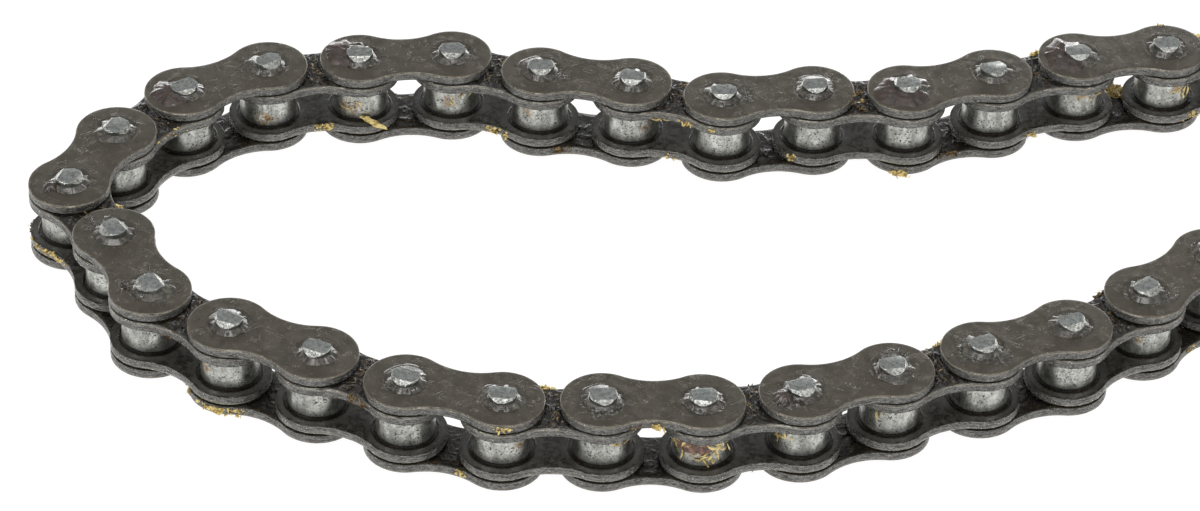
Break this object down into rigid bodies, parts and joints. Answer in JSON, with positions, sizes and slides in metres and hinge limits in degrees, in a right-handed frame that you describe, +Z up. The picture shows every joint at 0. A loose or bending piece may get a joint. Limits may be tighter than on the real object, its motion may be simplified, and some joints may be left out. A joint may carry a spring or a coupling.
{
  "type": "roller chain",
  "caption": "Length of half-inch-pitch roller chain laid on its side in a hairpin, with pin links, roller links and free rollers.",
  "frame": {"origin": "centre of the chain's box at its bottom, on the plane that the lower pin ends rest on", "axes": "+Z up along the pins; +X along the hairpin's length towards its two open ends; +Y towards the strand that ends at inner_link_01"},
  "size_m": [0.1714, 0.095, 0.0129],
  "materials": {
    "outer_links": "dark oxidised steel, fine scratches, worn lighter edges",
    "inner_links": "dark oxidised steel under a film of old grease",
    "pins": "blue-grey steel, bright staked ends",
    "rollers": "bright mottled steel with small dark pits",
    "grease": "dried brown grease"
  },
  "bodies": {
    "inner_link_01": {"inner_link_01": "inner_links"},
    "outer_link_01": {"outer_link_01": "outer_links"},
    "inner_link_02": {"inner_link_02": "inner_links"},
    "outer_link_02": {"outer_link_02": "outer_links"},
    "inner_link_03": {"inner_link_03": "inner_links"},
    "outer_link_03": {"outer_link_03": "outer_links"},
    "inner_link_04": {"inner_link_04": "inner_links"},
    "outer_link_04": {"outer_link_04": "outer_links"},
    "inner_link_05": {"inner_link_05": "inner_links"},
    "outer_link_05": {"outer_link_05": "outer_links"},
    "inner_link_06": {"inner_link_06": "inner_links"},
    "outer_link_06": {"outer_link_06": "outer_links"},
    "inner_link_07": {"inner_link_07": "inner_links"},
    "outer_link_07": {"outer_link_07": "outer_links"},
    "inner_link_08": {"inner_link_08": "inner_links"},
    "outer_link_08": {"outer_link_08": "outer_links"},
    "inner_link_09": {"inner_link_09": "inner_links"},
    "outer_link_09": {"outer_link_09": "outer_links"},
    "inner_link_10": {"inner_link_10": "inner_links"},
    "outer_link_10": {"outer_link_10": "outer_links"},
    "inner_link_11": {"inner_link_11": "inner_links"},
    "outer_link_11": {"outer_link_11": "outer_links"},
    "inner_link_12": {"inner_link_12": "inner_links"},
    "outer_link_12": {"outer_link_12": "outer_links"},
    "inner_link_13": {"inner_link_13": "inner_links"},
    "outer_link_13": {"outer_link_13": "outer_links"},
    "inner_link_14": {"inner_link_14": "inner_links"},
    "outer_link_14": {"outer_link_14": "outer_links"},
    "inner_link_15": {"inner_link_15": "inner_links"},
    "roller_01": {"roller_01": "rollers"},
    "roller_02": {"roller_02": "rollers"},
    "roller_03": {"roller_03": "rollers"},
    "roller_04": {"roller_04": "rollers"},
    "roller_05": {"roller_05": "rollers"},
    "roller_06": {"roller_06": "rollers"},
    "roller_07": {"roller_07": "rollers"},
    "roller_08": {"roller_08": "rollers"},
    "roller_09": {"roller_09": "rollers"},
    "roller_10": {"roller_10": "rollers"},
    "roller_11": {"roller_11": "rollers"},
    "roller_12": {"roller_12": "rollers"},
    "roller_13": {"roller_13": "rollers"},
    "roller_14": {"roller_14": "rollers"},
    "roller_15": {"roller_15": "rollers"},
    "roller_16": {"roller_16": "rollers"},
    "roller_17": {"roller_17": "rollers"},
    "roller_18": {"roller_18": "rollers"},
    "roller_19": {"roller_19": "rollers"},
    "roller_20": {"roller_20": "rollers"},
    "roller_21": {"roller_21": "rollers"},
    "roller_22": {"roller_22": "rollers"},
    "roller_23": {"roller_23": "rollers"},
    "roller_24": {"roller_24": "rollers"},
    "roller_25": {"roller_25": "rollers"},
    "roller_26": {"roller_26": "rollers"},
    "roller_27": {"roller_27": "rollers"},
    "roller_28": {"roller_28": "rollers"},
    "roller_29": {"roller_29": "rollers"},
    "roller_30": {"roller_30": "rollers"}
  },
  "joints": [
    {"name": "hinge_01", "type": "hinge", "parent": "outer_link_01", "child": "inner_link_01", "pos_m": [0.0679, 0.03872, 0.00646], "axis": [0, 0, 1], "range_deg": [-63, 57]},
    {"name": "hinge_02", "type": "hinge", "parent": "inner_link_02", "child": "outer_link_01", "pos_m": [0.05547, 0.03608, 0.00646], "axis": [0, 0, 1], "range_deg": [-51, 69]},
    {"name": "hinge_03", "type": "hinge", "parent": "outer_link_02", "child": "inner_link_02", "pos_m": [0.04362, 0.03153, 0.00646], "axis": [0, 0, 1], "range_deg": [-41, 59]},
    {"name": "hinge_04", "type": "hinge", "parent": "inner_link_03", "child": "outer_link_02", "pos_m": [0.03168, 0.02719, 0.00646], "axis": [0, 0, 1], "range_deg": [-31, 44]},
    {"name": "hinge_05", "type": "hinge", "parent": "outer_link_03", "child": "inner_link_03", "pos_m": [0.01902, 0.0263, 0.00646], "axis": [0, 0, -1], "range_deg": [-66, 24]},
    {"name": "hinge_06", "type": "hinge", "parent": "inner_link_04", "child": "outer_link_03", "pos_m": [0.00651, 0.02409, 0.00646], "axis": [0, 0, 1], "range_deg": [-20, 38]},
    {"name": "hinge_07", "type": "hinge", "parent": "outer_link_04", "child": "inner_link_04", "pos_m": [-0.00591, 0.02673, 0.00646], "axis": [0, 0, -1], "range_deg": [-64, 17]},
    {"name": "hinge_08", "type": "hinge", "parent": "inner_link_05", "child": "outer_link_04", "pos_m": [-0.01849, 0.0285, 0.00646], "axis": [0, 0, 1], "range_deg": [-15, 54]},
    {"name": "hinge_09", "type": "hinge", "parent": "outer_link_05", "child": "inner_link_05", "pos_m": [-0.03081, 0.03157, 0.00646], "axis": [0, 0, 1], "range_deg": [-13, 81]},
    {"name": "hinge_10", "type": "hinge", "parent": "inner_link_06", "child": "outer_link_05", "pos_m": [-0.04342, 0.03003, 0.00646], "axis": [0, 0, -1], "range_deg": [-64, 12]},
    {"name": "hinge_11", "type": "hinge", "parent": "outer_link_06", "child": "inner_link_06", "pos_m": [-0.05588, 0.0276, 0.00646], "axis": [0, 0, 1], "range_deg": [-11, 80]},
    {"name": "hinge_12", "type": "hinge", "parent": "inner_link_07", "child": "outer_link_06", "pos_m": [-0.06677, 0.02106, 0.00646], "axis": [0, 0, -1], "range_deg": [-78, 10]},
    {"name": "hinge_13", "type": "hinge", "parent": "outer_link_07", "child": "inner_link_07", "pos_m": [-0.0751, 0.01148, 0.00646], "axis": [0, 0, -1], "range_deg": [-77, 9]},
    {"name": "hinge_14", "type": "hinge", "parent": "inner_link_08", "child": "outer_link_07", "pos_m": [-0.08027, -0.00012, 0.00646], "axis": [0, 0, 1], "range_deg": [-3, 117]},
    {"name": "hinge_15", "type": "hinge", "parent": "inner_link_08", "child": "outer_link_08", "pos_m": [-0.07335, -0.01077, 0.00646], "axis": [0, 0, -1], "range_deg": [-9, 54]},
    {"name": "hinge_16", "type": "hinge", "parent": "outer_link_08", "child": "inner_link_09", "pos_m": [-0.06759, -0.02209, 0.00646], "axis": [0, 0, 1], "range_deg": [-91, 9]},
    {"name": "hinge_17", "type": "hinge", "parent": "inner_link_09", "child": "outer_link_09", "pos_m": [-0.05682, -0.02882, 0.00646], "axis": [0, 0, -1], "range_deg": [-10, 68]},
    {"name": "hinge_18", "type": "hinge", "parent": "outer_link_09", "child": "inner_link_10", "pos_m": [-0.04521, -0.03399, 0.00646], "axis": [0, 0, 1], "range_deg": [-60, 11]},
    {"name": "hinge_19", "type": "hinge", "parent": "inner_link_10", "child": "outer_link_10", "pos_m": [-0.03361, -0.03915, 0.00646], "axis": [0, 0, -1], "range_deg": [-12, 71]},
    {"name": "hinge_20", "type": "hinge", "parent": "outer_link_10", "child": "inner_link_11", "pos_m": [-0.02124, -0.04201, 0.00646], "axis": [0, 0, 1], "range_deg": [-75, 13]},
    {"name": "hinge_21", "type": "hinge", "parent": "inner_link_11", "child": "outer_link_11", "pos_m": [-0.00855, -0.04156, 0.00646], "axis": [0, 0, 1], "range_deg": [-60, 16]},
    {"name": "hinge_22", "type": "hinge", "parent": "outer_link_11", "child": "inner_link_12", "pos_m": [0.00415, -0.04112, 0.00646], "axis": [0, 0, -1], "range_deg": [-18, 70]},
    {"name": "hinge_23", "type": "hinge", "parent": "inner_link_12", "child": "outer_link_12", "pos_m": [0.01657, -0.03848, 0.00646], "axis": [0, 0, 1], "range_deg": [-71, 22]},
    {"name": "hinge_24", "type": "hinge", "parent": "outer_link_12", "child": "inner_link_13", "pos_m": [0.02826, -0.03352, 0.00646], "axis": [0, 0, 1], "range_deg": [-60, 29]},
    {"name": "hinge_25", "type": "hinge", "parent": "inner_link_13", "child": "outer_link_13", "pos_m": [0.03995, -0.02856, 0.00646], "axis": [0, 0, -1], "range_deg": [-41, 61]},
    {"name": "hinge_26", "type": "hinge", "parent": "outer_link_13", "child": "inner_link_14", "pos_m": [0.05155, -0.02339, 0.00646], "axis": [0, 0, -1], "range_deg": [-47, 73]},
    {"name": "hinge_27", "type": "hinge", "parent": "inner_link_14", "child": "outer_link_14", "pos_m": [0.06169, -0.01575, 0.00646], "axis": [0, 0, -1], "range_deg": [-55, 65]},
    {"name": "hinge_28", "type": "hinge", "parent": "outer_link_14", "child": "inner_link_15", "pos_m": [0.07113, -0.00725, 0.00646], "axis": [0, 0, -1], "range_deg": [-58, 62]},
    {"name": "roller_spin_01", "type": "hinge", "parent": "inner_link_01", "child": "roller_01", "pos_m": [0.08017, 0.04201, 0.00646], "axis": [0, 0, 1], "continuous": true},
    {"name": "roller_spin_02", "type": "hinge", "parent": "inner_link_01", "child": "roller_02", "pos_m": [0.0679, 0.03872, 0.00646], "axis": [0, 0, 1], "continuous": true},
    {"name": "roller_spin_03", "type": "hinge", "parent": "inner_link_02", "child": "roller_03", "pos_m": [0.05547, 0.03608, 0.00646], "axis": [0, 0, 1], "continuous": true},
    {"name": "roller_spin_04", "type": "hinge", "parent": "inner_link_02", "child": "roller_04", "pos_m": [0.04362, 0.03153, 0.00646], "axis": [0, 0, 1], "continuous": true},
    {"name": "roller_spin_05", "type": "hinge", "parent": "inner_link_03", "child": "roller_05", "pos_m": [0.03168, 0.02719, 0.00646], "axis": [0, 0, 1], "continuous": true},
    {"name": "roller_spin_06", "type": "hinge", "parent": "inner_link_03", "child": "roller_06", "pos_m": [0.01902, 0.0263, 0.00646], "axis": [0, 0, 1], "continuous": true},
    {"name": "roller_spin_07", "type": "hinge", "parent": "inner_link_04", "child": "roller_07", "pos_m": [0.00651, 0.02409, 0.00646], "axis": [0, 0, 1], "continuous": true},
    {"name": "roller_spin_08", "type": "hinge", "parent": "inner_link_04", "child": "roller_08", "pos_m": [-0.00591, 0.02673, 0.00646], "axis": [0, 0, 1], "continuous": true},
    {"name": "roller_spin_09", "type": "hinge", "parent": "inner_link_05", "child": "roller_09", "pos_m": [-0.01849, 0.0285, 0.00646], "axis": [0, 0, 1], "continuous": true},
    {"name": "roller_spin_10", "type": "hinge", "parent": "inner_link_05", "child": "roller_10", "pos_m": [-0.03081, 0.03157, 0.00646], "axis": [0, 0, 1], "continuous": true},
    {"name": "roller_spin_11", "type": "hinge", "parent": "inner_link_06", "child": "roller_11", "pos_m": [-0.04342, 0.03003, 0.00646], "axis": [0, 0, 1], "continuous": true},
    {"name": "roller_spin_12", "type": "hinge", "parent": "inner_link_06", "child": "roller_12", "pos_m": [-0.05588, 0.0276, 0.00646], "axis": [0, 0, 1], "continuous": true},
    {"name": "roller_spin_13", "type": "hinge", "parent": "inner_link_07", "child": "roller_13", "pos_m": [-0.06677, 0.02106, 0.00646], "axis": [0, 0, 1], "continuous": true},
    {"name": "roller_spin_14", "type": "hinge", "parent": "inner_link_07", "child": "roller_14", "pos_m": [-0.0751, 0.01148, 0.00646], "axis": [0, 0, 1], "continuous": true},
    {"name": "roller_spin_15", "type": "hinge", "parent": "inner_link_08", "child": "roller_15", "pos_m": [-0.08027, -0.00012, 0.00646], "axis": [0, 0, 1], "continuous": true},
    {"name": "roller_spin_16", "type": "hinge", "parent": "inner_link_08", "child": "roller_16", "pos_m": [-0.07335, -0.01077, 0.00646], "axis": [0, 0, 1], "continuous": true},
    {"name": "roller_spin_17", "type": "hinge", "parent": "inner_link_09", "child": "roller_17", "pos_m": [-0.06759, -0.02209, 0.00646], "axis": [0, 0, 1], "continuous": true},
    {"name": "roller_spin_18", "type": "hinge", "parent": "inner_link_09", "child": "roller_18", "pos_m": [-0.05682, -0.02882, 0.00646], "axis": [0, 0, 1], "continuous": true},
    {"name": "roller_spin_19", "type": "hinge", "parent": "inner_link_10", "child": "roller_19", "pos_m": [-0.04521, -0.03399, 0.00646], "axis": [0, 0, 1], "continuous": true},
    {"name": "roller_spin_20", "type": "hinge", "parent": "inner_link_10", "child": "roller_20", "pos_m": [-0.03361, -0.03915, 0.00646], "axis": [0, 0, 1], "continuous": true},
    {"name": "roller_spin_21", "type": "hinge", "parent": "inner_link_11", "child": "roller_21", "pos_m": [-0.02124, -0.04201, 0.00646], "axis": [0, 0, 1], "continuous": true},
    {"name": "roller_spin_22", "type": "hinge", "parent": "inner_link_11", "child": "roller_22", "pos_m": [-0.00855, -0.04156, 0.00646], "axis": [0, 0, 1], "continuous": true},
    {"name": "roller_spin_23", "type": "hinge", "parent": "inner_link_12", "child": "roller_23", "pos_m": [0.00415, -0.04112, 0.00646], "axis": [0, 0, 1], "continuous": true},
    {"name": "roller_spin_24", "type": "hinge", "parent": "inner_link_12", "child": "roller_24", "pos_m": [0.01657, -0.03848, 0.00646], "axis": [0, 0, 1], "continuous": true},
    {"name": "roller_spin_25", "type": "hinge", "parent": "inner_link_13", "child": "roller_25", "pos_m": [0.02826, -0.03352, 0.00646], "axis": [0, 0, 1], "continuous": true},
    {"name": "roller_spin_26", "type": "hinge", "parent": "inner_link_13", "child": "roller_26", "pos_m": [0.03995, -0.02856, 0.00646], "axis": [0, 0, 1], "continuous": true},
    {"name": "roller_spin_27", "type": "hinge", "parent": "inner_link_14", "child": "roller_27", "pos_m": [0.05155, -0.02339, 0.00646], "axis": [0, 0, 1], "continuous": true},
    {"name": "roller_spin_28", "type": "hinge", "parent": "inner_link_14", "child": "roller_28", "pos_m": [0.06169, -0.01575, 0.00646], "axis": [0, 0, 1], "continuous": true},
    {"name": "roller_spin_29", "type": "hinge", "parent": "inner_link_15", "child": "roller_29", "pos_m": [0.07113, -0.00725, 0.00646], "axis": [0, 0, 1], "continuous": true},
    {"name": "roller_spin_30", "type": "hinge", "parent": "inner_link_15", "child": "roller_30", "pos_m": [0.08027, 0.00157, 0.00646], "axis": [0, 0, 1], "continuous": true}
  ]
}
